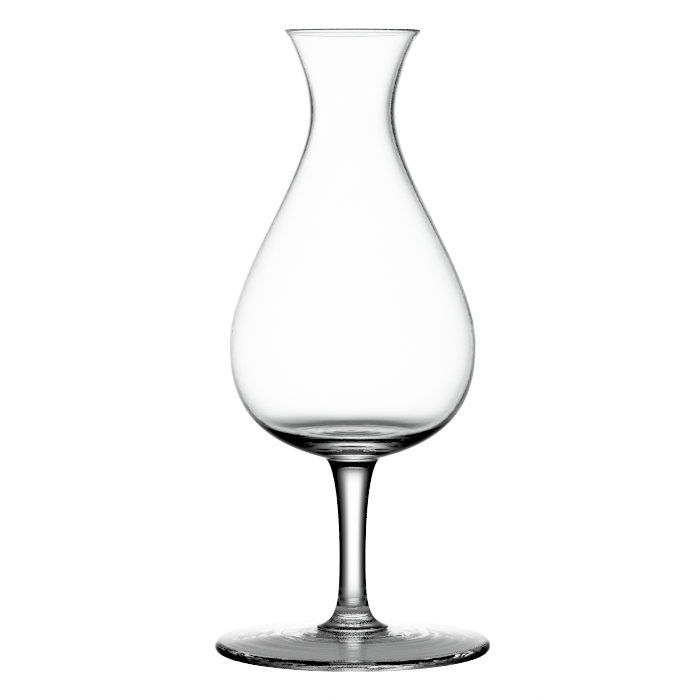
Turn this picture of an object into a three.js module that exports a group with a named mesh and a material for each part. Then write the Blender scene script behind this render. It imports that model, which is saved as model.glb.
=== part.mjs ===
// A stemmed whisky nosing glass of clear crystal, made as three gathers that are fused while hot:
// a foot, a solid stem and a blown bowl. Each one is a turned shape about the glass's axis.
// Millimetres, +Z up. The origin is the centre of the foot's underside, on the table.
import * as THREE from "three";

// Foot: a thick disc with a rounded rim, a conical top and a shallow hollow underneath
const footRadius = 38;
const footRimThickness = 3.4;
const footHeight = 6.6; // table to the seam under the stem
const restRingRadius = 34.5; // inner edge of the flat ring that the glass stands on
const puntDepth = 4; // hollow under the foot, at the axis

// Stem: a solid bar with a waist, a round collar on the foot and a trumpet under the bowl
const stemLength = 46.8; // seam to seam
const collarRadius = 9.9;
const collarEdgeRadius = 0.3;
const collarLean = 16; // degrees above level, where the flare leaves the collar's edge
const collarReach = 5.4; // how far the flare keeps that lean
const waistRadius = 3.75;
const waistHeight = 19.4; // above the seam with the foot
const waistEaseDown = 13.5; // near-straight stretch below the waist
const waistEaseUp = 10.4; // near-straight stretch above it
const trumpetLean = 58; // degrees from upright, at the bowl's seat
const trumpetReach = 3.8;

// Bowl, outside: base, belly, neck and flared mouth, stacked from the seam with the stem
const seatRadius = 7.9; // seam between bowl and stem
const bellyRise = 31.2; // seam to the widest ring
const shoulderRise = 63.1; // widest ring to the neck
const flareRise = 22.6; // neck to the top of the lip
const bellyRadius = 33.85;
const neckRadius = 11.85;
const mouthRadius = 18.6; // outermost ring of the lip
const baseLean = 14.5; // degrees above level, where the base leaves the seam
const baseReach = 20;
const bellyEaseDown = 16.1;
const bellyEaseUp = 19.1;
const neckEaseDown = 17.4;
const neckEaseUp = 8.3;
const lipLean = 33; // degrees from upright, at the lip
const lipReach = 3;

// Bowl, inside: a thin blown wall, a heel where it begins to thicken into the base, and a fire-polished lip
const lipThickness = 1.2;
const neckWall = 1.1;
const bellyWall = 0.6;
const innerBellyEaseDown = 5.6;
const heelPlace = 0.5; // share of the way along the base, from the seam to the widest ring
const heelWall = 1.08;
const heelWedge = 1.65; // degrees by which the inside is flatter than the outside there
const heelEaseUp = 7.8;
const heelEaseDown = 12.4;
const floorReach = 8.75; // how far out the inner floor stays nearly level
const baseThickness = 5.9; // on the axis

// Facets
const turns = 48; // facets round the axis
const curveSteps = 12; // facets along one curve
const edgeSteps = 6; // facets along one rounded edge

// A point of a profile: distance from the axis, and height
const at = (radius, height) => new THREE.Vector2(radius, height);

// A step of a given length, at an angle in degrees above level
function step(length, angle) {
  const radians = THREE.MathUtils.degToRad(angle);
  return at(length * Math.cos(radians), length * Math.sin(radians));
}

// A smooth curve between two points. The handles are steps that leave each end along the curve.
function curve(start, startHandle, endHandle, end) {
  const startControl = start.clone().add(startHandle);
  const endControl = end.clone().add(endHandle);
  return new THREE.CubicBezierCurve(start, startControl, endControl, end);
}

// A rounded edge about a centre, from one angle to another in degrees above level
function roundedEdge(centre, radius, fromAngle, toAngle) {
  const points = [];
  for (let i = 0; i <= edgeSteps; i += 1) {
    const angle = THREE.MathUtils.lerp(fromAngle, toAngle, i / edgeSteps);
    points.push(centre.clone().add(step(radius, angle)));
  }
  return points;
}

// Joins stretches of a profile, curves or lists of points, and drops the point that two neighbours share
function joined(...stretches) {
  const sameness = 1e-6;
  const points = [];
  for (const stretch of stretches) {
    const own = stretch instanceof THREE.Curve ? stretch.getPoints(curveSteps) : stretch;
    for (const point of own) {
      const last = points.at(-1);
      if (!last || last.distanceTo(point) > sameness) points.push(point);
    }
  }
  return points;
}

// Turns a profile about the axis. The profile runs from the axis, up the outside, and back to the axis.
function turned(name, profile, material) {
  const geometry = new THREE.LatheGeometry(profile, turns);
  geometry.rotateX(Math.PI / 2);
  const mesh = new THREE.Mesh(geometry, material);
  mesh.name = name;
  return mesh;
}

function crystal(color) {
  return new THREE.MeshStandardMaterial({
    color,
    roughness: 0.02,
    metalness: 0,
    transparent: true,
    opacity: 0.35,
  });
}

// The seam that stem and foot share is as wide as the collar inside its rounded edge
const collarSeamRadius = collarRadius - collarEdgeRadius;

// Foot: hollow underside, rest ring, rounded rim, conical top, seam
function makeFoot() {
  const puntSphereRadius = (restRingRadius ** 2 + puntDepth ** 2) / (2 * puntDepth);
  const puntAngle = THREE.MathUtils.radToDeg(Math.asin(restRingRadius / puntSphereRadius));
  const puntCentre = at(0, puntDepth - puntSphereRadius);
  const underside = roundedEdge(puntCentre, puntSphereRadius, 90, 90 - puntAngle);

  const rimRadius = footRimThickness / 2;
  const rimCentre = at(footRadius - rimRadius, rimRadius);
  const seamEdge = at(collarSeamRadius, footHeight);
  const reach = rimCentre.distanceTo(seamEdge);
  const riseAngle = Math.atan2(seamEdge.y - rimCentre.y, rimCentre.x - seamEdge.x);
  const topSlope = THREE.MathUtils.radToDeg(riseAngle - Math.asin(rimRadius / reach));
  const rim = roundedEdge(rimCentre, rimRadius, -90, 90 - topSlope);

  const profile = joined(underside, rim, [seamEdge, at(0, footHeight)]);
  return turned("foot", profile, crystal(0xe6ebea));
}

// Stem: seam, rounded collar, flare up to the waist, trumpet up to the bowl's seat
function makeStem() {
  const edgeCentre = at(collarSeamRadius, collarEdgeRadius);
  const collar = roundedEdge(edgeCentre, collarEdgeRadius, -90, 90 - collarLean);
  const waist = at(waistRadius, waistHeight);
  const seat = at(seatRadius, stemLength);
  const offTheCollar = step(collarReach, 180 - collarLean);
  const downTheTrumpet = step(trumpetReach, -90 - trumpetLean);
  const flare = curve(collar.at(-1), offTheCollar, step(waistEaseDown, -90), waist);
  const trumpet = curve(waist, step(waistEaseUp, 90), downTheTrumpet, seat);

  const profile = joined([at(0, 0)], collar, flare, trumpet, [at(0, stemLength)]);
  return turned("stem", profile, crystal(0xe2e7e6));
}

// Bowl: seam, base, belly and neck outside, lip, then neck, belly and floor inside
function makeBowl() {
  const neckHeight = bellyRise + shoulderRise;
  const topHeight = neckHeight + flareRise;

  const seat = at(seatRadius, 0);
  const belly = at(bellyRadius, bellyRise);
  const neck = at(neckRadius, neckHeight);
  const innerNeck = at(neckRadius - neckWall, neckHeight);
  const innerBelly = at(bellyRadius - bellyWall, bellyRise);
  const innerFloor = at(0, baseThickness);

  // The heel hangs on the outside of the base, so the wall keeps its thickness when the base changes
  const base = curve(seat, step(baseReach, baseLean), step(bellyEaseDown, -90), belly);
  const alongBase = base.getTangent(heelPlace);
  const inward = at(-alongBase.y, alongBase.x);
  const heel = base.getPoint(heelPlace).addScaledVector(inward, heelWall);
  const heelLean = THREE.MathUtils.radToDeg(alongBase.angle()) - heelWedge;

  const lipRadius = lipThickness / 2;
  const lipCentre = at(mouthRadius - lipRadius, topHeight - lipRadius);
  const lip = roundedEdge(lipCentre, lipRadius, -lipLean, 180 - lipLean);
  const downTheWall = step(lipReach, -90 - lipLean);

  const profile = joined(
    [at(0, 0)],
    base,
    curve(belly, step(bellyEaseUp, 90), step(neckEaseDown, -90), neck),
    curve(neck, step(neckEaseUp, 90), downTheWall, lip[0]),
    lip,
    curve(lip.at(-1), downTheWall, step(neckEaseUp, 90), innerNeck),
    curve(innerNeck, step(neckEaseDown, -90), step(bellyEaseUp, 90), innerBelly),
    curve(innerBelly, step(innerBellyEaseDown, -90), step(heelEaseUp, heelLean), heel),
    curve(heel, step(heelEaseDown, heelLean + 180), step(floorReach, 0), innerFloor),
  );
  return turned("bowl", profile, crystal(0xf2f5f4));
}

const foot = makeFoot();
const stem = makeStem();
const bowl = makeBowl();
stem.position.z = footHeight;
bowl.position.z = footHeight + stemLength;

const glass = new THREE.Group();
glass.name = "whisky_nosing_glass";
glass.add(foot, stem, bowl);

export default glass;
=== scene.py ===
# %% [markdown]
# # A stemmed whisky nosing glass
# The object is one drinking glass of clear crystal. A glassmaker makes it from three gathers: a blown bowl,
# a drawn stem and a pressed foot, which are fused while they are hot. This lesson turns each gather from
# half an outline, gives it the small unevenness of hand work and a crystal finish, and lights it as glass is
# lit in a studio: a bright patch behind, and dark all round it.

# %% Load the frame
import math

import bpy
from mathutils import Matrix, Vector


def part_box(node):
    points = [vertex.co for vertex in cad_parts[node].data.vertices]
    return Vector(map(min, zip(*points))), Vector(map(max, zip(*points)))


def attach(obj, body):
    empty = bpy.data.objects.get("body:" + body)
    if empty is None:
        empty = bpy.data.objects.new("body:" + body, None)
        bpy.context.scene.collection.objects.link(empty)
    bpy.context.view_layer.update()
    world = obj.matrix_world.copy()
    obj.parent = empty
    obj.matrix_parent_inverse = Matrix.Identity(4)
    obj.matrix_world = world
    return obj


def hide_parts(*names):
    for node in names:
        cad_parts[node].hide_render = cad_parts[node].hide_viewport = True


MM = 0.001
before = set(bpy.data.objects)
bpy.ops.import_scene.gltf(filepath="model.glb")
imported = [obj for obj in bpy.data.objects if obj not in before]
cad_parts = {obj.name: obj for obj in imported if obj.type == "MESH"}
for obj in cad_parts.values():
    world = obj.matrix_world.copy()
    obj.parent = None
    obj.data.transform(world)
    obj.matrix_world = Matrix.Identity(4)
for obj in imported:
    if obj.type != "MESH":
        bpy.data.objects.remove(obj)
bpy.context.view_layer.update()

# %% [markdown]
# ## Sizes from the frame
# The frame is the real glass at its real size. The heights of the two seams and the widest rings are read
# from it, so the turned pieces always meet where the solids meet. All outline sizes below are in
# millimetres.

# %% Heights and widest rings
foot_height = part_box("foot")[1].z / MM
seat_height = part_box("stem")[1].z / MM
top_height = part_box("bowl")[1].z / MM
foot_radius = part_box("foot")[1].x / MM
collar_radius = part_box("stem")[1].x / MM
belly_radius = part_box("bowl")[1].x / MM
print("seams at", round(foot_height, 2), "and", round(seat_height, 2), "mm")
print("top at", round(top_height, 2), "mm")

# %% [markdown]
# ## The camera
# The photograph looks at the foot from about nine degrees above the table, and almost level with the mouth.
# That needs a long lens about a metre away, a little lower than the lip. A camera can be turned by hand, but
# two points, where it stands and what it looks at, say the same thing and are easy to check.

# %% Camera
PHOTO_SIDE = 700  # pixels
CAMERA_DISTANCE = 953
CAMERA_HEIGHT = 152.4
CAMERA_AIM_HEIGHT = 82.95
FOCAL_PIXELS = 3494.2
AXIS_OFFSET_PIXELS = 2.5  # the glass stands a little to the right of the middle
SENSOR_MM = 36


def make_camera():
    data = bpy.data.cameras.new("camera")
    data.sensor_width = SENSOR_MM
    data.lens = FOCAL_PIXELS / PHOTO_SIDE * SENSOR_MM
    data.shift_x = -AXIS_OFFSET_PIXELS / PHOTO_SIDE
    camera = bpy.data.objects.new("camera", data)
    bpy.context.collection.objects.link(camera)
    drop = CAMERA_HEIGHT - CAMERA_AIM_HEIGHT
    camera.location = (0, -CAMERA_DISTANCE * MM, CAMERA_HEIGHT * MM)
    camera.rotation_euler = (math.pi / 2 - math.atan2(drop, CAMERA_DISTANCE), 0, 0)
    bpy.context.scene.camera = camera
    return camera


camera = make_camera()
print("camera lens", round(camera.data.lens, 1), "mm")

# %% [markdown]
# ## Small helpers
# Every node tree below is written by one function: it adds a node, sets its options, and fills its sockets
# with plain values or with links. Colours are given as sRGB hex values, as a colour picker shows them, and
# one function turns them into the linear values that shaders add up.

# %% Colours and nodes
SRGB_TOE = 0.04045  # below this an sRGB channel is a straight line
SRGB_TOE_SLOPE = 12.92
SRGB_OFFSET = 0.055
SRGB_POWER = 2.4


def linear(hex_colour):
    """An sRGB hex colour as the linear RGBA that shaders use."""
    channels = []
    for i in (1, 3, 5):
        c = int(hex_colour[i:i + 2], 16) / 255
        toe = c / SRGB_TOE_SLOPE
        curve = ((c + SRGB_OFFSET) / (1 + SRGB_OFFSET)) ** SRGB_POWER
        channels.append(toe if c <= SRGB_TOE else curve)
    return (*channels, 1)


def add_node(tree, kind, inputs=None, **settings):
    """Adds a node with its settings, then fills its sockets: an output is linked, a plain value is set."""
    node = tree.nodes.new(kind)
    for name, value in settings.items():
        setattr(node, name, value)
    for socket, value in (inputs or {}).items():
        if isinstance(value, bpy.types.NodeSocket):
            tree.links.new(value, node.inputs[socket])
        else:
            node.inputs[socket].default_value = value
    return node


def new_material(name):
    material = bpy.data.materials.new(name)
    material.use_nodes = True
    material.node_tree.nodes.clear()
    return material, material.node_tree


print("white as linear light:", linear("#ffffff"))

# %% [markdown]
# ## Clear crystal
# Crystal has almost no colour of its own. The eye knows it by the way it bends what is behind it, so the
# shader is a clear body with the bending power of soda crystal. Three faint things keep it from looking like
# a formula: a cloud of tint, the slightly uneven skin that a flame leaves, and fine scratches that dull the
# ring that the glass stands on. The skin of the drawn stem is stretched along the stem, and the others are
# even.

# %% Crystal
REFRACTIVE_INDEX = 1.52
CLOUD_WIDTH = 40
SKIN_DEPTH = 0.003
WEAR_HEIGHT = 0.25  # how far above the table the scratches reach
SCRATCH_WIDTH = 0.15  # of a patch of scratches
HAZE_ROUGHNESS = 0.004
WEAR_ROUGHNESS = 0.35
# Each way of working the glass: its tint, and the widths of the skin's unevenness along X, Y and Z
BLOWN = ("#fcfefd", (4, 4, 4))
DRAWN = ("#fbfdfc", (1, 1, 30))
PRESSED = ("#fbfdfc", (3, 3, 3))


def make_crystal(name, tint, skin_widths):
    """Clear crystal that gives the eye bent light, a soft skin, and a dull worn ring at the table."""
    material, tree = new_material(name)
    place = add_node(tree, "ShaderNodeTexCoord").outputs["Object"]
    height = add_node(tree, "ShaderNodeSeparateXYZ", {0: place}).outputs["Z"]

    cloud = add_node(tree, "ShaderNodeTexNoise", {
        "Vector": place,
        "Scale": 1 / (CLOUD_WIDTH * MM),
    }).outputs[0]
    colour = add_node(tree, "ShaderNodeMixRGB", {
        "Fac": cloud,
        "Color1": linear("#ffffff"),
        "Color2": linear(tint),
    }).outputs[0]

    scratch = add_node(tree, "ShaderNodeTexNoise", {
        "Vector": place,
        "Scale": 1 / (SCRATCH_WIDTH * MM),
    }).outputs[0]
    wear = add_node(tree, "ShaderNodeMapRange", {
        "Value": height,
        "From Max": WEAR_HEIGHT * MM,
        "To Min": WEAR_ROUGHNESS,
        "To Max": HAZE_ROUGHNESS,
    }).outputs[0]
    roughness = add_node(tree, "ShaderNodeMath", {0: wear, 1: scratch}, operation="MULTIPLY").outputs[0]

    scale = [1 / (width * MM) for width in skin_widths]
    stretched = add_node(tree, "ShaderNodeMapping", {"Vector": place, "Scale": scale}).outputs[0]
    skin = add_node(tree, "ShaderNodeTexNoise", {"Vector": stretched, "Scale": 1.0}).outputs[0]
    bump = add_node(tree, "ShaderNodeBump", {"Height": skin, "Distance": SKIN_DEPTH * MM}).outputs[0]

    shader = add_node(tree, "ShaderNodeBsdfPrincipled", {
        "Base Color": colour,
        "Roughness": roughness,
        "IOR": REFRACTIVE_INDEX,
        "Transmission Weight": 1.0,
        "Normal": bump,
    })
    add_node(tree, "ShaderNodeOutputMaterial", {"Surface": shader.outputs["BSDF"]})
    return material


bowl_crystal = make_crystal("bowl_crystal_blown", *BLOWN)
stem_crystal = make_crystal("stem_crystal_drawn", *DRAWN)
foot_crystal = make_crystal("foot_crystal_pressed", *PRESSED)
print("materials:", bowl_crystal.name, stem_crystal.name, foot_crystal.name)

# %% [markdown]
# ## The fused seams
# Where two gathers are fused hot there is no surface left at all: the eye sees one body of glass. The pieces
# stay separate meshes, so the faces of a seam would show as two mirrors inside the stem. They could be
# deleted, but then neither mesh would be closed. A shader that lets light straight through hides them
# instead.

# %% Fused seam


def make_fused_seam():
    """Nothing to see: glass meets glass, and light goes straight on."""
    material, tree = new_material("fused_seam")
    shader = add_node(tree, "ShaderNodeBsdfTransparent")
    add_node(tree, "ShaderNodeOutputMaterial", {"Surface": shader.outputs["BSDF"]})
    return material


fused_seam = make_fused_seam()
print("material:", fused_seam.name)

# %% [markdown]
# ## Outlines
# Each gather is spun on a rod while it is shaped, so half an outline says all about it. An outline could be
# traced point by point, but then nobody could change it. Here it is drawn as in a drawing program: a few
# places, the lean of the line at each place, and arcs for the rounded edges. A point is a radius and a
# height.

# %% Lines of an outline


def polar(length, degrees):
    """A step of a given length, at an angle above level."""
    angle = math.radians(degrees)
    return (length * math.cos(angle), length * math.sin(angle))


def plus(point, step):
    return (point[0] + step[0], point[1] + step[1])


def bend(start, start_step, end_step, end, steps):
    """Points of a smooth curve, after its start. The two steps are its handles."""
    ends = (start, plus(start, start_step), plus(end, end_step), end)
    points = []
    for i in range(1, steps + 1):
        t = i / steps
        u = 1 - t
        weights = (u ** 3, 3 * u * u * t, 3 * u * t * t, t ** 3)
        points.append(tuple(sum(w * p[k] for w, p in zip(weights, ends)) for k in (0, 1)))
    return points


def arc(centre, radius, from_degrees, to_degrees, steps):
    """Points of a round stretch, its start included."""
    turn = (to_degrees - from_degrees) / steps
    return [plus(centre, polar(radius, from_degrees + i * turn)) for i in range(steps + 1)]


def straight(start, end, steps):
    """Points of a straight stretch, after its start."""
    return [tuple(a + (b - a) * i / steps for a, b in zip(start, end)) for i in range(1, steps + 1)]


print("a quarter circle in two steps:", arc((0, 0), 1, 0, 90, 2))

# %% [markdown]
# ## The touch of the hand
# Blown and pressed glass is never quite true: it has long soft waves, and finer marks where a tool ran round
# it. Both bend what is behind the glass, so they have to be in the shape and not only in the finish. A
# Displace modifier could move the points, but its texture doesn't know the outline. Here a noise is read at
# a place made from the direction round the axis and the way along the outline, so its marks run round the
# glass. The surface keeps still at the seams and at the table, so the pieces meet and the glass stands.

# %% Unevenness
STILL_BAND = 0.8  # how far the stillness reaches from a seam or from the table
NOISE_MIDDLE = 0.5
NOISE_DETAIL = 1.0
LEVEL_PART = (1, 1, 0)  # what a place is multiplied by, to leave out its height


def add_lift(tree, place, given, kind):
    """How far each point moves: a noise that is stretched along and round the outline."""
    height = add_node(tree, "ShaderNodeSeparateXYZ", {0: place}).outputs["Z"]
    outward = add_node(tree, "ShaderNodeVectorMath", {
        0: place,
        1: LEVEL_PART,
    }, operation="MULTIPLY").outputs[0]
    radius = add_node(tree, "ShaderNodeVectorMath", {0: outward}, operation="LENGTH").outputs["Value"]
    way = add_node(tree, "ShaderNodeMath", {0: radius, 1: height}, operation="ADD").outputs[0]
    length = given[kind + " Length"]
    lengths = add_node(tree, "ShaderNodeMath", {0: way, 1: length}, operation="DIVIDE").outputs[0]
    along = add_node(tree, "ShaderNodeCombineXYZ", {"Z": lengths}).outputs[0]
    facing = add_node(tree, "ShaderNodeVectorMath", {0: outward}, operation="NORMALIZE").outputs[0]
    spot = add_node(tree, "ShaderNodeVectorMath", {
        0: facing,
        1: given[kind + " Rate Round"],
        2: along,
    }, operation="MULTIPLY_ADD").outputs[0]
    noise = add_node(tree, "ShaderNodeTexNoise", {
        "Vector": spot,
        "Scale": 1.0,
        "Detail": NOISE_DETAIL,
    }).outputs[0]
    lift = add_node(tree, "ShaderNodeMath", {0: noise, 1: NOISE_MIDDLE}, operation="SUBTRACT").outputs[0]
    most = given[kind + " Height"]
    return add_node(tree, "ShaderNodeMath", {0: lift, 1: most}, operation="MULTIPLY").outputs[0]


def add_unevenness(tree, mesh, given, kind):
    """Moves a surface along its normals, and not at all near the two still heights."""
    place = add_node(tree, "GeometryNodeInputPosition").outputs["Position"]
    height = add_node(tree, "ShaderNodeSeparateXYZ", {0: place}).outputs["Z"]
    lift = add_lift(tree, place, given, kind)
    for level in ("Still Low", "Still High"):
        still = given[level]
        above = add_node(tree, "ShaderNodeMath", {0: height, 1: still}, operation="SUBTRACT").outputs[0]
        away = add_node(tree, "ShaderNodeMath", {0: above}, operation="ABSOLUTE").outputs[0]
        free = add_node(tree, "ShaderNodeMapRange", {
            "Value": away,
            "From Max": STILL_BAND * MM,
        }, interpolation_type="SMOOTHSTEP").outputs[0]
        lift = add_node(tree, "ShaderNodeMath", {0: lift, 1: free}, operation="MULTIPLY").outputs[0]
    normal = add_node(tree, "GeometryNodeInputNormal").outputs[0]
    move = add_node(tree, "ShaderNodeVectorMath", {0: normal, "Scale": lift}, operation="SCALE").outputs[0]
    return add_node(tree, "GeometryNodeSetPosition", {"Geometry": mesh, "Offset": move}).outputs[0]


print("the surface keeps still for", STILL_BAND, "mm round a seam")

# %% [markdown]
# ## Turning
# A lathe shape could be made with the Screw modifier, or point by point in mesh code. Geometry Nodes do it
# with one tree that all three gathers share: a flat grid has a row for each point of the outline and a
# column for each step round the axis, and each grid point is moved to its place on the turned surface. The
# tree's named inputs hold what differs between the gathers. A blown cavity is never quite central, so the
# points of the inside can also be shifted sideways by a hair.

# %% Inputs of the turning tree
TREE_SIZES = ("Cavity Shift", "Seam Low", "Seam High", "Still Low", "Still High")
UNEVEN_KINDS = ("Wave", "Mark")
UNEVEN_TRAITS = ("Height", "Length", "Rate Round")


def add_sockets(tree):
    """Gives the tree its named inputs and its output."""
    inputs = [("Outline", "Geometry"), ("Turns", "Int")]
    inputs += [(name, "Float") for name in TREE_SIZES]
    inputs += [(f"{kind} {trait}", "Float") for kind in UNEVEN_KINDS for trait in UNEVEN_TRAITS]
    inputs += [("Crystal", "Material"), ("Seam", "Material")]
    for name, kind in inputs:
        tree.interface.new_socket(name, in_out="INPUT", socket_type="NodeSocket" + kind)
    tree.interface.new_socket("Turned", in_out="OUTPUT", socket_type="NodeSocketGeometry")
    return add_node(tree, "NodeGroupInput").outputs


print("inputs for unevenness:", [f"{kind} {trait}" for kind in UNEVEN_KINDS for trait in UNEVEN_TRAITS])

# %% From a grid to a turned surface
SAME_POINT = 0.001
WHOLE_TURN = -2 * math.pi  # negative, so that the faces look outward


def add_cavity_shift(tree, given, row):
    """The sideways shift of a row: an outline point carries its share of it as the curve's radius."""
    carried = add_node(tree, "GeometryNodeInputRadius").outputs[0]
    share = add_node(tree, "GeometryNodeSampleIndex", {
        "Geometry": given["Outline"],
        "Value": carried,
        "Index": row,
    }, data_type="FLOAT", domain="POINT").outputs["Value"]
    whole = given["Cavity Shift"]
    shift = add_node(tree, "ShaderNodeMath", {0: share, 1: whole}, operation="MULTIPLY").outputs[0]
    return add_node(tree, "ShaderNodeCombineXYZ", {"X": shift}).outputs[0]


def add_turned_grid(tree, given):
    """A grid with a row for each outline point and a column for each step round the axis, rolled up."""
    outline = given["Outline"]
    count = add_node(tree, "GeometryNodeAttributeDomainSize", {"Geometry": outline}, component="CURVE")
    columns = add_node(tree, "ShaderNodeMath", {0: given["Turns"], 1: 1.0}, operation="ADD").outputs[0]
    grid = add_node(tree, "GeometryNodeMeshGrid", {
        "Size X": 1.0,
        "Size Y": 1.0,
        "Vertices X": count.outputs["Point Count"],
        "Vertices Y": columns,
    })

    index = add_node(tree, "GeometryNodeInputIndex").outputs["Index"]
    rows = add_node(tree, "ShaderNodeMath", {0: index, 1: columns}, operation="DIVIDE").outputs[0]
    row = add_node(tree, "ShaderNodeMath", {0: rows}, operation="FLOOR").outputs[0]
    column = add_node(tree, "ShaderNodeMath", {0: index, 1: columns}, operation="MODULO").outputs[0]
    turn = add_node(tree, "ShaderNodeMath", {0: column, 1: given["Turns"]}, operation="DIVIDE").outputs[0]
    angle = add_node(tree, "ShaderNodeMath", {0: turn, 1: WHOLE_TURN}, operation="MULTIPLY").outputs[0]

    place = add_node(tree, "GeometryNodeInputPosition").outputs["Position"]
    drawn = add_node(tree, "GeometryNodeSampleIndex", {
        "Geometry": outline,
        "Value": place,
        "Index": row,
    }, data_type="FLOAT_VECTOR", domain="POINT").outputs["Value"]
    spun = add_node(tree, "ShaderNodeVectorRotate", {
        "Vector": drawn,
        "Angle": angle,
    }, rotation_type="Z_AXIS")
    turned = add_node(tree, "GeometryNodeSetPosition", {
        "Geometry": grid.outputs["Mesh"],
        "Position": spun.outputs[0],
        "Offset": add_cavity_shift(tree, given, row),
    })
    return add_node(tree, "GeometryNodeMergeByDistance", {
        "Geometry": turned.outputs[0],
        "Distance": SAME_POINT * MM,
    }).outputs[0]


print("points closer than", SAME_POINT, "mm are merged, which closes the poles and the round")

# %% [markdown]
# ## Edges and faces of a turned gather
# Fire-polished glass is smooth all over, but the corner of a seam is a real edge. Smooth shading rounds off
# both alike. So the tree shades the surface smooth, and then leaves sharp each edge that is bent by more
# than a set angle. The flat discs of the seams are found by their height, and get the seam's material.

# %% Creases and materials
CREASE_DEGREES = 40
SAME_HEIGHT = 0.002


def add_creases(tree, mesh):
    """Smooth shading, with sharp edges where the surface turns a corner."""
    bent = add_node(tree, "GeometryNodeInputMeshEdgeAngle").outputs["Unsigned Angle"]
    crease = add_node(tree, "FunctionNodeCompare", {
        "A": bent,
        "B": math.radians(CREASE_DEGREES),
    }, data_type="FLOAT", operation="GREATER_THAN").outputs[0]
    smooth = add_node(tree, "GeometryNodeSetShadeSmooth", {"Geometry": mesh}).outputs[0]
    return add_node(tree, "GeometryNodeSetShadeSmooth", {
        "Geometry": smooth,
        "Selection": crease,
        "Shade Smooth": False,
    }, domain="EDGE").outputs[0]


def add_finish(tree, mesh, given):
    """Crystal all over, and the seam's material on the discs at the seams."""
    dressed = add_node(tree, "GeometryNodeSetMaterial", {"Geometry": mesh, "Material": given["Crystal"]})
    place = add_node(tree, "GeometryNodeInputPosition").outputs["Position"]
    height = add_node(tree, "ShaderNodeSeparateXYZ", {0: place}).outputs["Z"]
    seams = []
    for name in ("Seam Low", "Seam High"):
        level = add_node(tree, "FunctionNodeCompare", {
            "A": height,
            "B": given[name],
            "Epsilon": SAME_HEIGHT * MM,
        }, data_type="FLOAT", operation="EQUAL")
        seams.append(level.outputs[0])
    either = add_node(tree, "FunctionNodeBooleanMath", {0: seams[0], 1: seams[1]}, operation="OR")
    return add_node(tree, "GeometryNodeSetMaterial", {
        "Geometry": dressed.outputs[0],
        "Selection": either.outputs[0],
        "Material": given["Seam"],
    }).outputs[0]


print("edges bent by more than", CREASE_DEGREES, "degrees stay sharp")

# %% The turning tree


def make_turning_tree():
    tree = bpy.data.node_groups.new("turned crystal", "GeometryNodeTree")
    given = add_sockets(tree)
    surface = add_turned_grid(tree, given)
    for kind in UNEVEN_KINDS:
        surface = add_unevenness(tree, surface, given, kind)
    creased = add_creases(tree, surface)
    finished = add_finish(tree, creased, given)
    whole = add_node(tree, "GeometryNodeRealizeInstances", {"Geometry": finished}).outputs[0]
    add_node(tree, "NodeGroupOutput", {"Turned": whole})
    return tree


turning_tree = make_turning_tree()
print("turning tree:", len(turning_tree.nodes), "nodes")

# %% [markdown]
# ## From an outline to a mesh
# The tree works on a curve object that holds the outline. Once its inputs are set, the evaluated result is
# copied into a plain mesh, and the curve is thrown away. The finished gather is an object at the origin with
# nothing left to evaluate, so its place is in its mesh.

# %% Turn a gather


def draw_outline(name, points):
    """A curve of the outline. A point's third number, if any, is its share of the cavity's shift."""
    data = bpy.data.curves.new(name, "CURVE")
    data.dimensions = "3D"
    spline = data.splines.new("POLY")
    spline.points.add(len(points) - 1)
    for drawn, (radius, height, *share) in zip(spline.points, points):
        drawn.co = (radius * MM, 0, height * MM, 1)
        drawn.radius = share[0] if share else 0.0
    outline = bpy.data.objects.new(name, data)
    bpy.context.collection.objects.link(outline)
    return outline


def tree_values(crystal, turns, seams, still, unevenness, cavity_shift):
    """The tree's inputs by name, with millimetres turned into metres."""
    values = {"Turns": turns, "Cavity Shift": cavity_shift * MM, "Crystal": crystal, "Seam": fused_seam}
    for end, seam, rest in zip(("Low", "High"), seams, still):
        values["Seam " + end] = seam * MM
        values["Still " + end] = rest * MM
    for kind, (height, length, rate_round) in unevenness.items():
        values[kind + " Height"] = height * MM
        values[kind + " Length"] = length * MM
        values[kind + " Rate Round"] = rate_round
    return values


def turn_gather(name, points, crystal, turns, seams, still, unevenness, cavity_shift=0.0):
    """Turns an outline, and leaves a plain mesh at the origin."""
    outline = draw_outline(name + "_outline", points)
    modifier = outline.modifiers.new("turning", "NODES")
    modifier.node_group = turning_tree
    for socket, value in tree_values(crystal, turns, seams, still, unevenness, cavity_shift).items():
        modifier[sockets[socket]] = value
    graph = bpy.context.evaluated_depsgraph_get()
    mesh = bpy.data.meshes.new_from_object(outline.evaluated_get(graph))
    mesh.name = name
    mesh.materials.pop(index=0)
    bpy.data.objects.remove(outline)
    gather = bpy.data.objects.new(name, mesh)
    bpy.context.collection.objects.link(gather)
    print(name, len(mesh.polygons), "faces, materials", [m.name for m in mesh.materials])
    return gather


sockets = {s.name: s.identifier for s in turning_tree.interface.items_tree if s.in_out == "INPUT"}
print("a gather is turned from", len(sockets), "inputs")

# %% [markdown]
# ## The foot
# The foot is a gather that is pressed flat and spun until its rim is round. Its top is a low cone. Its
# underside is a shallow hollow, so that the glass stands on a narrow ring and doesn't rock. A flat disc
# could pass for it from above, but through clear glass the hollow shows: it makes a lens, and the table seen
# through its front looks like a grey slab. The tool leaves rings of fine marks on it, and they show as
# streaks near the stem.

# %% Sizes of the foot
FOOT_RIM = 3.4
REST_RING = 34.5  # inner edge of the ring that the glass stands on
PUNT_DEPTH = 4.0
COLLAR_EDGE = 0.3
UNDER_STEPS = 80
RING_STEPS = 2
RIM_STEPS = 40
TOP_STEPS = 108
FOOT_TURNS = 320
# Each kind of unevenness: its height, its length along the outline, and its rate round the axis
FOOT_UNEVENNESS = {"Wave": (0.12, 12, 1.5), "Mark": (0.12, 2, 0.6)}
collar_seam = collar_radius - COLLAR_EDGE
print("the seam under the stem is", round(2 * collar_seam, 1), "mm wide")

# %% Turn the foot


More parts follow.
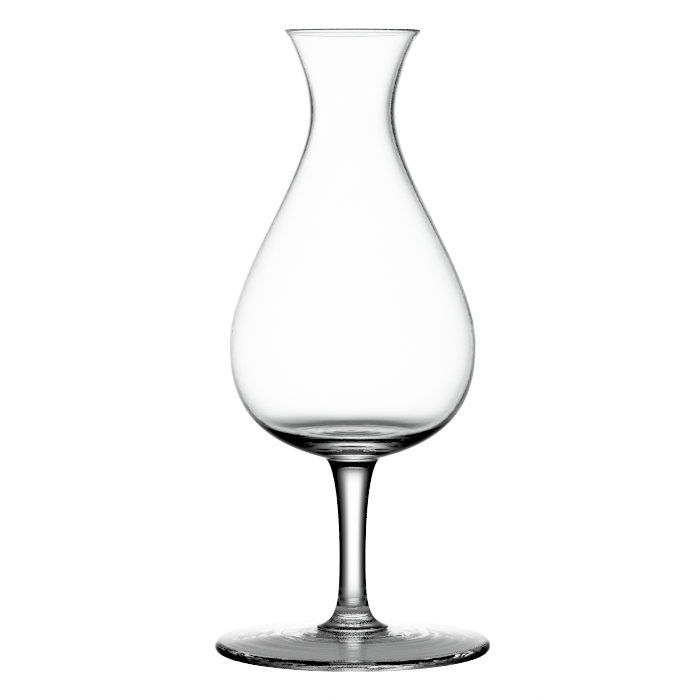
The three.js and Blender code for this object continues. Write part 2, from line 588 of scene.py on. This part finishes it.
def foot_outline():
    dome = (REST_RING ** 2 + PUNT_DEPTH ** 2) / (2 * PUNT_DEPTH)
    dome_degrees = math.degrees(math.asin(REST_RING / dome))
    under = arc((0, PUNT_DEPTH - dome), dome, 90, 90 - dome_degrees, UNDER_STEPS)
    r = FOOT_RIM / 2
    centre = (foot_radius - r, r)
    seam = (collar_seam, foot_height)
    rise = math.atan2(seam[1] - centre[1], centre[0] - seam[0])
    slope = math.degrees(rise - math.asin(r / math.dist(centre, seam)))
    rim = arc(centre, r, -90, 90 - slope, RIM_STEPS)
    ring = straight(under[-1], rim[0], RING_STEPS)
    top = straight(rim[-1], seam, TOP_STEPS)
    return [*under, *ring[:-1], *rim, *top, (0, foot_height)]


foot = turn_gather(
    "foot_crystal",
    foot_outline(),
    foot_crystal,
    FOOT_TURNS,
    seams=(foot_height, foot_height),
    still=(0, foot_height),
    unevenness=FOOT_UNEVENNESS,
)

# %% [markdown]
# ## The stem
# The stem is a solid bar, drawn out while it is soft. It is thinnest below its middle, runs out into a round
# collar where it was set down on the foot, and opens like a trumpet under the bowl. A straight cylinder with
# two cones would have corners that the drawn glass never has, so each end is one curve that leaves the waist
# upright.

# %% Sizes of the stem
COLLAR_LEAN = 16  # degrees above level
COLLAR_REACH = 5.4
WAIST_RADIUS = 3.75
WAIST_HEIGHT = 26.0
WAIST_EASE_DOWN = 13.5
WAIST_EASE_UP = 10.4
TRUMPET_LEAN = 58  # degrees from upright
TRUMPET_REACH = 3.8
SEAT_RADIUS = 7.9
COLLAR_STEPS = 20
STEM_FLARE_STEPS = 80
TRUMPET_STEPS = 60
STEM_TURNS = 256
STEM_UNEVENNESS = {"Wave": (0.02, 12, 1.0), "Mark": (0.01, 40, 3.0)}
print("the stem is", 2 * WAIST_RADIUS, "mm thick at its waist")

# %% Turn the stem


def stem_outline():
    centre = (collar_seam, foot_height + COLLAR_EDGE)
    collar = arc(centre, COLLAR_EDGE, -90, 90 - COLLAR_LEAN, COLLAR_STEPS)
    waist = (WAIST_RADIUS, WAIST_HEIGHT)
    seat = (SEAT_RADIUS, seat_height)
    off_the_collar = polar(COLLAR_REACH, 180 - COLLAR_LEAN)
    down_the_trumpet = polar(TRUMPET_REACH, -90 - TRUMPET_LEAN)
    flare = bend(collar[-1], off_the_collar, (0, -WAIST_EASE_DOWN), waist, STEM_FLARE_STEPS)
    trumpet = bend(waist, (0, WAIST_EASE_UP), down_the_trumpet, seat, TRUMPET_STEPS)
    return [(0, foot_height), *collar, *flare, *trumpet, (0, seat_height)]


stem = turn_gather(
    "stem_crystal",
    stem_outline(),
    stem_crystal,
    STEM_TURNS,
    seams=(foot_height, seat_height),
    still=(foot_height, seat_height),
    unevenness=STEM_UNEVENNESS,
)

# %% [markdown]
# ## The bowl, outside
# The bowl is blown: a round belly to warm the whisky, a narrow neck to hold its vapour, and a mouth that
# flares again to drink from. Smooth curves make the outside, and they meet at the widest ring, at the neck
# and under the lip. The lip was melted round in a flame, which leaves a bead a little thicker than the wall
# below it, and the bead draws the fine lines under the rim.

# %% Sizes of the bowl's outside
BELLY_HEIGHT = 84.6
NECK_HEIGHT = 147.7
NECK_RADIUS = 11.85
MOUTH_RADIUS = 18.6
BASE_LEAN = 14.5  # degrees above level
BASE_REACH = 20
BELLY_EASE_DOWN = 16.1
BELLY_EASE_UP = 19.1
NECK_EASE_DOWN = 17.4
NECK_EASE_UP = 8.3
LIP = 1.2
LIP_LEAN = 33  # degrees from upright
LIP_REACH = 3
LIP_WALL = 1.0  # wall just under the bead
BEAD_WRAP = 9  # degrees by which the bead is more than a half circle, on each side
BEAD_DROP = 1.1
BEAD_EASE = 0.3
BASE_STEPS = 48
WALL_STEPS = 60
FLARE_STEPS = 24
BEAD_STEPS = 6
LIP_STEPS = 20
print("the mouth is", 2 * MOUTH_RADIUS, "mm wide and the neck", 2 * NECK_RADIUS, "mm")

# %% [markdown]
# ## The bowl, inside
# The wall is thin at the belly, thicker at the neck, and thickest in the base, where the gather was deepest.
# The inside could be an offset of the outside, but a blown wall isn't even, and the dark and light bands in
# the base come from just that. So the inside has its own curves. They hang on the outside at one place, the
# heel, where the wall begins to thicken. The floor keeps faint rings from the last breath, and the cavity
# sits a hair off the axis.

# %% Sizes of the bowl's inside
NECK_WALL = 1.25
BELLY_WALL = 0.6
INNER_BELLY_EASE_DOWN = 5.6
HEEL_PLACE = 0.5  # share of the way along the base, from the seam to the widest ring
HEEL_WALL = 1.08
HEEL_WEDGE = 1.65  # degrees by which the inside is flatter than the outside there
HEEL_EASE_UP = 7.8
HEEL_EASE_DOWN = 12.4
FLOOR_REACH = 8.75
BASE_THICKNESS = 5.9
RIPPLE_SPACING = 3.7
RIPPLE_HEIGHT = 0.05
RIPPLE_RADIUS = 22
CAVITY_SHIFT = -0.12
HEEL_STEPS = 24
FLOOR_STEPS = 90
BOWL_TURNS = 256
BOWL_UNEVENNESS = {"Wave": (0.05, 18, 1.2), "Mark": (0.01, 5, 0.5)}
print("the wall is", BELLY_WALL, "mm at the belly and", BASE_THICKNESS, "mm in the base")

# %% Heel, floor and lip


def heel_of(base):
    """The place where the wall begins to thicken, hung on the outside of the base, and the lean there."""
    middle = round(len(base) * HEEL_PLACE) - 1
    (r0, z0), (r1, z1) = base[middle - 1], base[middle + 1]
    lean = math.degrees(math.atan2(z1 - z0, r1 - r0))
    return plus(base[middle], polar(HEEL_WALL, lean + 90)), lean - HEEL_WEDGE


def rippled(points):
    """The floor as hot glass sets: faint rings that fade away from the axis."""
    waves = []
    for radius, height in points:
        fade = max(0.0, 1 - (radius / RIPPLE_RADIUS) ** 2)
        ring = RIPPLE_HEIGHT * fade * math.cos(2 * math.pi * radius / RIPPLE_SPACING)
        waves.append((radius, height + ring))
    return waves


def lip_bead():
    """The bead of the lip, the short curves that lead into it and out of it, and their two far ends."""
    r = LIP / 2
    centre = (MOUTH_RADIUS - r, top_height - r)
    under = plus(centre, polar(BEAD_DROP, -90 - LIP_LEAN))
    outer = plus(under, polar(LIP_WALL / 2, -LIP_LEAN))
    inner = plus(under, polar(LIP_WALL / 2, 180 - LIP_LEAN))
    up = polar(BEAD_EASE, 90 - LIP_LEAN)
    bead = arc(centre, r, -LIP_LEAN - BEAD_WRAP, 180 - LIP_LEAN + BEAD_WRAP, LIP_STEPS)
    rise = bend(outer, up, polar(BEAD_EASE, -90 - LIP_LEAN - BEAD_WRAP), bead[0], BEAD_STEPS)
    fall = bend(bead[-1], polar(BEAD_EASE, -90 - LIP_LEAN + BEAD_WRAP), up, inner, BEAD_STEPS)
    return outer, rise, bead[1:], fall, inner


print("the bead of the lip has", len(lip_bead()[2]), "steps")

# %% Turn the bowl


def bowl_outline():
    seat = (SEAT_RADIUS, seat_height)
    belly = (belly_radius, BELLY_HEIGHT)
    neck = (NECK_RADIUS, NECK_HEIGHT)
    inner_neck = (NECK_RADIUS - NECK_WALL, NECK_HEIGHT)
    inner_belly = (belly_radius - BELLY_WALL, BELLY_HEIGHT)
    middle = (0, seat_height + BASE_THICKNESS)
    down = polar(LIP_REACH, -90 - LIP_LEAN)
    base = bend(seat, polar(BASE_REACH, BASE_LEAN), (0, -BELLY_EASE_DOWN), belly, BASE_STEPS)
    heel, lean = heel_of(base)
    outer, rise, bead, fall, inner = lip_bead()
    floor = bend(heel, polar(HEEL_EASE_DOWN, lean + 180), (FLOOR_REACH, 0), middle, FLOOR_STEPS)
    cavity = [
        *fall,
        *bend(inner, down, (0, NECK_EASE_UP), inner_neck, FLARE_STEPS),
        *bend(inner_neck, (0, -NECK_EASE_DOWN), (0, BELLY_EASE_UP), inner_belly, WALL_STEPS),
        *bend(inner_belly, (0, -INNER_BELLY_EASE_DOWN), polar(HEEL_EASE_UP, lean), heel, HEEL_STEPS),
        *rippled(floor),
    ]
    return [
        (0, seat_height),
        seat,
        *base,
        *bend(belly, (0, BELLY_EASE_UP), (0, -NECK_EASE_DOWN), neck, WALL_STEPS),
        *bend(neck, (0, NECK_EASE_UP), down, outer, FLARE_STEPS),
        *rise,
        *[(*point, i / LIP_STEPS) for i, point in enumerate(bead, 1)],
        *[(*point, 1) for point in cavity],
    ]


bowl = turn_gather(
    "bowl_crystal",
    bowl_outline(),
    bowl_crystal,
    BOWL_TURNS,
    seams=(seat_height, seat_height),
    still=(seat_height, top_height),
    unevenness=BOWL_UNEVENNESS,
    cavity_shift=CAVITY_SHIFT,
)

# %% [markdown]
# ## The white studio
# The glass stands in plain white: the floor runs into the background without a horizon. A lit floor and a
# wall would do that too, but all of their light would also shine into the glass and wash out its dark lines.
# So floor and background glow by themselves for the camera alone, and what the glass bends is set apart from
# them.

# %% Floor and background
WHITE = 1.5
FLOOR_HALF = 3000
FLOOR_DROP = 0.1  # below the foot, so that the two faces don't fight


def make_plane(name, corners, material):
    mesh = bpy.data.meshes.new(name)
    mesh.from_pydata(corners, [], [range(len(corners))])
    mesh.materials.append(material)
    plane = bpy.data.objects.new(name, mesh)
    bpy.context.collection.objects.link(plane)
    return plane


def square(half, height):
    """Corners of a level square, from sizes in millimetres."""
    a, z = half * MM, height * MM
    return [(-a, -a, z), (a, -a, z), (a, a, z), (-a, a, z)]


def make_white_floor():
    material, tree = new_material("white_floor")
    shader = add_node(tree, "ShaderNodeEmission", {"Color": linear("#ffffff"), "Strength": WHITE})
    add_node(tree, "ShaderNodeOutputMaterial", {"Surface": shader.outputs[0]})
    floor = make_plane("floor", square(FLOOR_HALF, -FLOOR_DROP), material)
    for rays in ("glossy", "transmission", "diffuse", "shadow"):
        setattr(floor, "visible_" + rays, False)
    return floor


def make_white_background():
    world = bpy.data.worlds.new("studio")
    world.use_nodes = True
    background = world.node_tree.nodes["Background"].inputs
    background["Color"].default_value = linear("#ffffff")
    background["Strength"].default_value = WHITE
    for rays in ("glossy", "transmission", "diffuse"):
        setattr(world.cycles_visibility, rays, False)
    bpy.context.scene.world = world
    return world


floor = make_white_floor()
world = make_white_background()
print("stage:", floor.name, "and", world.name)

# %% [markdown]
# ## The table under the foot
# Through the foot one sees the patch of table that it stands on. Its light and shade are painted into a disc
# that glows by itself. The front of the patch is painted as still getting some light from the room, a
# painted shade falls off towards the rear, and the narrow gap beside the ring that the glass stands on is
# painted dark, as a contact shadow.

# %% Shaded table
TABLE_SIDES = 96
# painted shade: how brightly the table patch glows at the front, at the rear, and in the painted contact
# shadow by the rim
FRONT_SHADE = 0.1
REAR_SHADE = 0.03
CONTACT_SHADE = 0.005
SHADE_HALF_WIDTH = 18  # of the soft change between front and rear
CONTACT_INNER = 33  # where the dark ring under the rim begins
CONTACT_OUTER = 35  # where it is fully dark


def paint_table_shade():
    material, tree = new_material("table_painted_shade")
    place = add_node(tree, "ShaderNodeTexCoord").outputs["Object"]
    depth = add_node(tree, "ShaderNodeSeparateXYZ", {0: place}).outputs["Y"]
    away = add_node(tree, "ShaderNodeVectorMath", {0: place}, operation="LENGTH").outputs["Value"]
    changes = (
        (depth, -SHADE_HALF_WIDTH * MM, SHADE_HALF_WIDTH * MM, REAR_SHADE),
        (away, CONTACT_INNER * MM, CONTACT_OUTER * MM, CONTACT_SHADE),
    )
    shade = FRONT_SHADE
    for where, start, end, new_shade in changes:
        shade = add_node(tree, "ShaderNodeMapRange", {
            "Value": where,
            "From Min": start,
            "From Max": end,
            "To Min": shade,
            "To Max": new_shade,
        }, interpolation_type="SMOOTHSTEP").outputs["Result"]
    # the painted shade glows as emission, so the table's light and shadow are painted and come from no lamp
    shader = add_node(tree, "ShaderNodeEmission", {"Strength": shade})
    add_node(tree, "ShaderNodeOutputMaterial", {"Surface": shader.outputs[0]})
    return material


def make_table():
    ring = [polar(foot_radius * MM, 360 * i / TABLE_SIDES) for i in range(TABLE_SIDES)]
    table = make_plane("table", [(x, y, -FLOOR_DROP * MM) for x, y in ring], paint_table_shade())
    table.visible_camera = False
    return table


table = make_table()
print("stage:", table.name, "as wide as the foot,", round(2 * foot_radius, 1), "mm")

# %% [markdown]
# ## The bright patch behind
# Clear glass is photographed against a bright patch that is not much larger than the glass. Where the glass
# bends the view a little, one still sees the patch. At the edges it bends the view past the patch into the
# dark, and that draws the black lines. An area lamp would have a hard border. A card that fades with the
# angle gives the soft greys between. It hangs behind the glass as seen from the camera, as a photographer
# would move it along.

# %% Glow card
GLOW_ACROSS = 12.4  # half angles in degrees, where the patch has faded to a half
GLOW_UP = 12.4
GLOW_DOWN = 9.5
GLOW_TURN = 3  # degrees by which the patch sits to the left
GLOW_FALL = 4.0  # power of the fading
GLOW_DISTANCE = 3000
GLOW_HALF = 9000


def make_glow():
    material, tree = new_material("bright_patch")
    place = add_node(tree, "ShaderNodeTexCoord").outputs["Object"]
    sides = add_node(tree, "ShaderNodeSeparateXYZ", {0: place}).outputs
    above = add_node(tree, "ShaderNodeMath", {0: sides["Y"], 1: 0.0}, operation="MAXIMUM").outputs[0]
    below = add_node(tree, "ShaderNodeMath", {0: sides["Y"], 1: 0.0}, operation="MINIMUM").outputs[0]
    far = GLOW_DISTANCE * MM
    fall = 1.0
    for offset, half_angle in ((sides["X"], GLOW_ACROSS), (above, GLOW_UP), (below, GLOW_DOWN)):
        half = math.radians(half_angle)
        slope = add_node(tree, "ShaderNodeMath", {0: offset, 1: far}, operation="DIVIDE").outputs[0]
        angle = add_node(tree, "ShaderNodeMath", {0: slope}, operation="ARCTANGENT").outputs[0]
        share = add_node(tree, "ShaderNodeMath", {0: angle, 1: half}, operation="DIVIDE").outputs[0]
        power = add_node(tree, "ShaderNodeMath", {0: share, 1: GLOW_FALL}, operation="POWER").outputs[0]
        fall = add_node(tree, "ShaderNodeMath", {0: fall, 1: power}, operation="ADD").outputs[0]
    glow = add_node(tree, "ShaderNodeMath", {0: 1.0, 1: fall}, operation="DIVIDE").outputs[0]
    shader = add_node(tree, "ShaderNodeEmission", {"Strength": glow})
    add_node(tree, "ShaderNodeOutputMaterial", {"Surface": shader.outputs[0]})
    return material


def hang_card():
    card = make_plane("glow_card", square(GLOW_HALF, 0), make_glow())
    card.parent = camera
    left = GLOW_DISTANCE * math.tan(math.radians(GLOW_TURN))
    card.location = (-left * MM, 0, -(CAMERA_DISTANCE + GLOW_DISTANCE) * MM)
    card.visible_camera = False
    return card


card = hang_card()
print("stage:", card.name, GLOW_DISTANCE, "mm behind the glass")

# %% [markdown]
# ## The film
# A studio picture of glass is exposed until the background is clean white, and light greys go with it, while
# the blacks stay black. A steep exponential curve has that shape. It is set as the scene's own tone curve,
# so the lights keep plain values. Light that has been mirrored many times inside the foot adds only grain,
# so the number of mirrorings is limited.

# %% Tone curve
FILM_EXPOSURE = 4.5
FILM_BLACK = 0.005
FILM_POINTS = 12
ALL_CHANNELS = 3  # the curve that bends red, green and blue alike
MIRRORINGS = 12


def film(light):
    return (1 - math.exp(-FILM_EXPOSURE * light)) / (1 - math.exp(-FILM_EXPOSURE))


def load_film(scene):
    settings = scene.view_settings
    settings.view_transform = "Standard"
    settings.use_curve_mapping = True
    mapping = settings.curve_mapping
    mapping.extend = "HORIZONTAL"
    mapping.black_level = [FILM_BLACK] * 3
    tone = mapping.curves[ALL_CHANNELS]
    for i in range(1, FILM_POINTS):
        light = (i / FILM_POINTS) ** 2
        tone.points.new(light, film(light))
    mapping.update()


load_film(bpy.context.scene)
bpy.context.scene.cycles.glossy_bounces = MIRRORINGS
print("a tenth of full light shows as", round(film(0.1), 2))

# %% [markdown]
# ## Ride
# Nothing on the glass moves, so it has one body, and each turned gather rides on it. A gather stands for the
# solid of the same name, which is hidden.

# %% Ride
for gather, node in ((bowl, "bowl"), (stem, "stem"), (foot, "foot")):
    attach(gather, "root")
    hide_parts(node)
